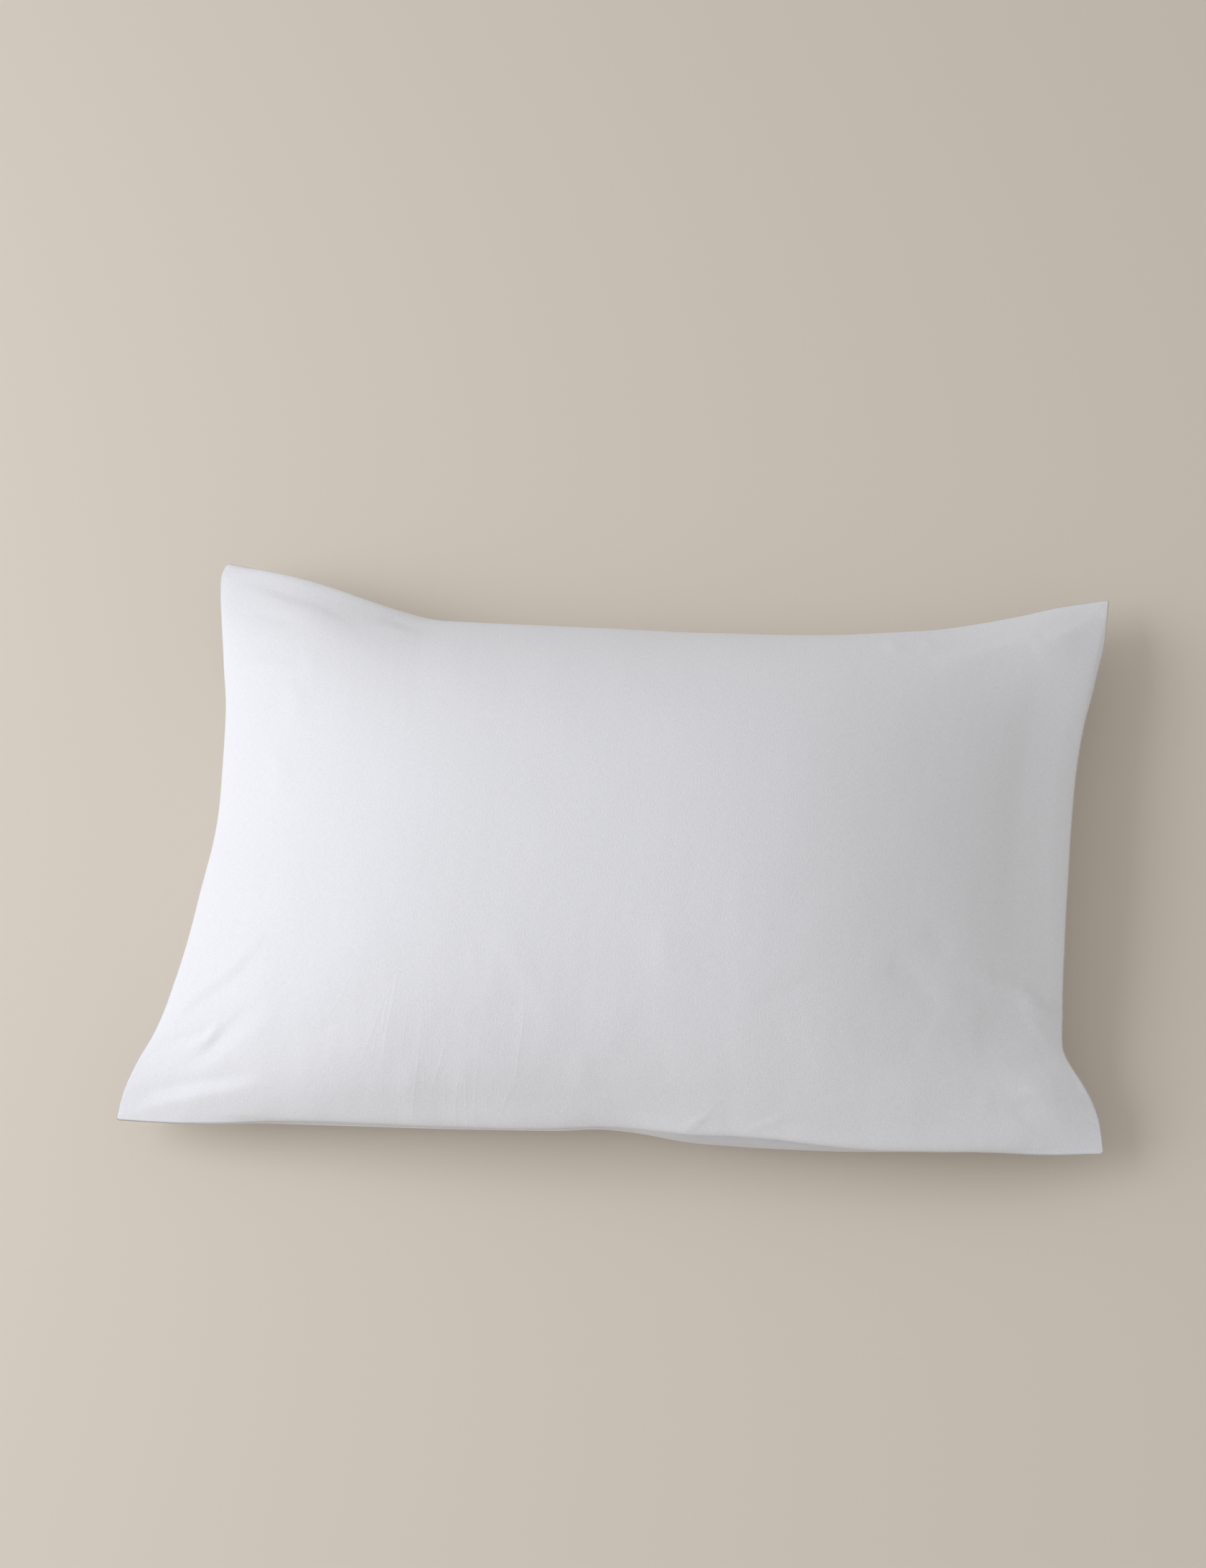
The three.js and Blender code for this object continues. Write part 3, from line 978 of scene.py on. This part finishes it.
def threads(direction, spacing_of_threads):
    """Soft bands across one direction, one for each thread."""
    wave = nodes.new("ShaderNodeTexWave")
    wave.bands_direction = direction
    wave.inputs["Scale"].default_value = 1.0
    wave.inputs["Distortion"].default_value = 0.6
    scale = WAVE_PERIOD / spacing_of_threads
    links.new(stretched((scale, scale, 1)), wave.inputs["Vector"])
    return wave.outputs["Fac"]


def calculate(operation, *values, clamp=False):
    """A Math node. Each value is a number or another node's output."""
    math_node = nodes.new("ShaderNodeMath")
    math_node.operation = operation
    math_node.use_clamp = clamp
    for socket, value in zip(math_node.inputs, values):
        if isinstance(value, (int, float)):
            socket.default_value = value
        else:
            links.new(value, socket)
    return math_node.outputs["Value"]


def bump(height, strength, distance, below):
    """Raises the surface by a height, on top of the relief below, if there is any."""
    made = nodes.new("ShaderNodeBump")
    made.inputs["Strength"].default_value = strength
    made.inputs["Distance"].default_value = distance
    links.new(height, made.inputs["Height"])
    if below is not None:
        links.new(below, made.inputs["Normal"])
    return made.outputs["Normal"]


# %% [markdown]
# ## The cotton's relief
#
# Four reliefs lie on top of each other. Fine puckers along the pull come only in the lower
# part. Press lines rise to a sharp ridge where the distance to them is near zero. The
# crinkle of washed cloth is everywhere, and so is the weave, made of two sets of threads.
# Each is less than half a millimetre deep, so bump is enough, where real displacement
# would need millions of points.

# %% Weave, crinkle, puckers and press lines
THREAD = 0.55 * MM
PRESS_HALF_WIDTH = 0.9
# puckers' share at y metres: PUCKER_RISE * y + PUCKER_START, so none at -0.04 and all at -0.16
PUCKER_RISE = -8.0
PUCKER_START = -0.3
weave = calculate("MULTIPLY", threads("X", THREAD), threads("Y", THREAD))
crinkle = smooth_noise((760, 560, 60), detail=4.0, roughness=0.65)

split = nodes.new("ShaderNodeSeparateXYZ")
links.new(cloth_coordinates, split.inputs["Vector"])
lower_part = calculate("MULTIPLY_ADD", split.outputs["Y"], PUCKER_RISE, PUCKER_START, clamp=True)
long_waves = smooth_noise((190, 62, 20), detail=3.0, roughness=0.55)
pucker = calculate("MULTIPLY", long_waves, lower_part)

press_split = nodes.new("ShaderNodeSeparateXYZ")
links.new(attribute("press"), press_split.inputs["Vector"])
width_share = calculate("DIVIDE", press_split.outputs["X"], PRESS_HALF_WIDTH)
square = calculate("MULTIPLY", width_share, width_share)
ridge = calculate("DIVIDE", press_split.outputs["Y"], calculate("ADD", square, 1.0))

# columns: the relief, its strength, its height in millimetres
RELIEFS = [
    (pucker, 0.5, 0.14),
    (ridge, 0.6, 0.16),
    (crinkle, 0.9, 0.37),
    (weave, 0.25, 0.10),
]
surface = None
for relief, strength, height in RELIEFS:
    surface = bump(relief, strength, height * MM, surface)
links.new(surface, shader.inputs["Normal"])
print(len(RELIEFS), "reliefs on the cotton")

# %% [markdown]
# ## The cotton's tone
#
# Yarn is spun unevenly. Thick and thin stretches run along both thread directions, and
# they make white cloth a little lighter here and darker there. Plain round noise would
# look like stains, so it is stretched along the threads, once each way. The white itself
# has a breath of blue.

# %% Uneven yarn
THIN_YARN = (0.774, 0.788, 0.838, 1)
THICK_YARN = (0.862, 0.876, 0.926, 1)
YARN_CONTRAST = 1.6
YARN_START = -1.1
uneven_warp = smooth_noise((1500, 190, 60), detail=3.0, roughness=0.7)
uneven_weft = smooth_noise((190, 1500, 60), detail=3.0, roughness=0.7)
both = calculate("ADD", uneven_warp, uneven_weft)
yarn = calculate("MULTIPLY_ADD", both, YARN_CONTRAST, YARN_START, clamp=True)

tone = nodes.new("ShaderNodeMix")
tone.data_type = "RGBA"
tone.inputs["A"].default_value = THIN_YARN
tone.inputs["B"].default_value = THICK_YARN
links.new(yarn, tone.inputs["Factor"])
links.new(tone.outputs["Result"], shader.inputs["Base Color"])

sham_mesh.materials.append(cotton)
sham_mesh.polygons.foreach_set("use_smooth", [True] * len(sham_mesh.polygons))
print("cotton:", len(nodes), "nodes")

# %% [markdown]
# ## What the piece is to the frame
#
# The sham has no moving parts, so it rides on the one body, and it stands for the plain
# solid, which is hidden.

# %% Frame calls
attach(sham, "root")
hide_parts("sham")
print(sham.name, "stands for the solid")

# %% [markdown]
# ## The floor
#
# A pale floor catches the sham's soft shadow and throws warm light back under its edges.
# A backdrop that curves up behind it would do as well, but from above only the floor
# shows. It is large enough that its edge never comes into view from above.

# %% Floor
FLOOR_SIZE = 12
PLASTER_FINISH = {"Base Color": (0.70, 0.645, 0.565, 1), "Roughness": 0.9}
bpy.ops.mesh.primitive_plane_add(size=FLOOR_SIZE, location=(0, 0, 0))
floor = bpy.context.object
floor.name = "floor"
floor.data.materials.append(new_material("pale_plaster", PLASTER_FINISH))
print("floor of", FLOOR_SIZE, "m")

# %% [markdown]
# ## The light
#
# White cloth shows its folds only when the light comes from one side. A sun lamp would
# cut them out too hard. A large square lamp far to the left works like a window: its light
# grazes the folds, and their shadows stay soft. The room itself is bright and a little
# warm, and fills the shadows.

# %% Light
ROOM_COLOR = (1.0, 0.97, 0.93, 1)
ROOM_STRENGTH = 0.535
WINDOW_PLACE = (-2.3, -0.25, 1.6)
WINDOW_TARGET = (0, 0, 0.05)
WINDOW_SIZE = 2.4
WINDOW_POWER = 51.5
WINDOW_COLOR = (0.945, 0.955, 1.0)

room = bpy.data.worlds.new("room")
bpy.context.scene.world = room
room.use_nodes = True
room.node_tree.nodes["Background"].inputs["Color"].default_value = ROOM_COLOR
room.node_tree.nodes["Background"].inputs["Strength"].default_value = ROOM_STRENGTH

window_data = bpy.data.lights.new("window", "AREA")
window_data.energy = WINDOW_POWER
window_data.size = WINDOW_SIZE
window_data.color = WINDOW_COLOR
window = bpy.data.objects.new("window", window_data)
window.location = WINDOW_PLACE
facing = Vector(WINDOW_TARGET) - Vector(WINDOW_PLACE)
window.rotation_euler = facing.to_track_quat("-Z", "Y").to_euler()
bpy.context.scene.collection.objects.link(window)
bpy.context.scene.view_settings.view_transform = "Standard"
print("window", round(facing.length, 2), "m from the sham")
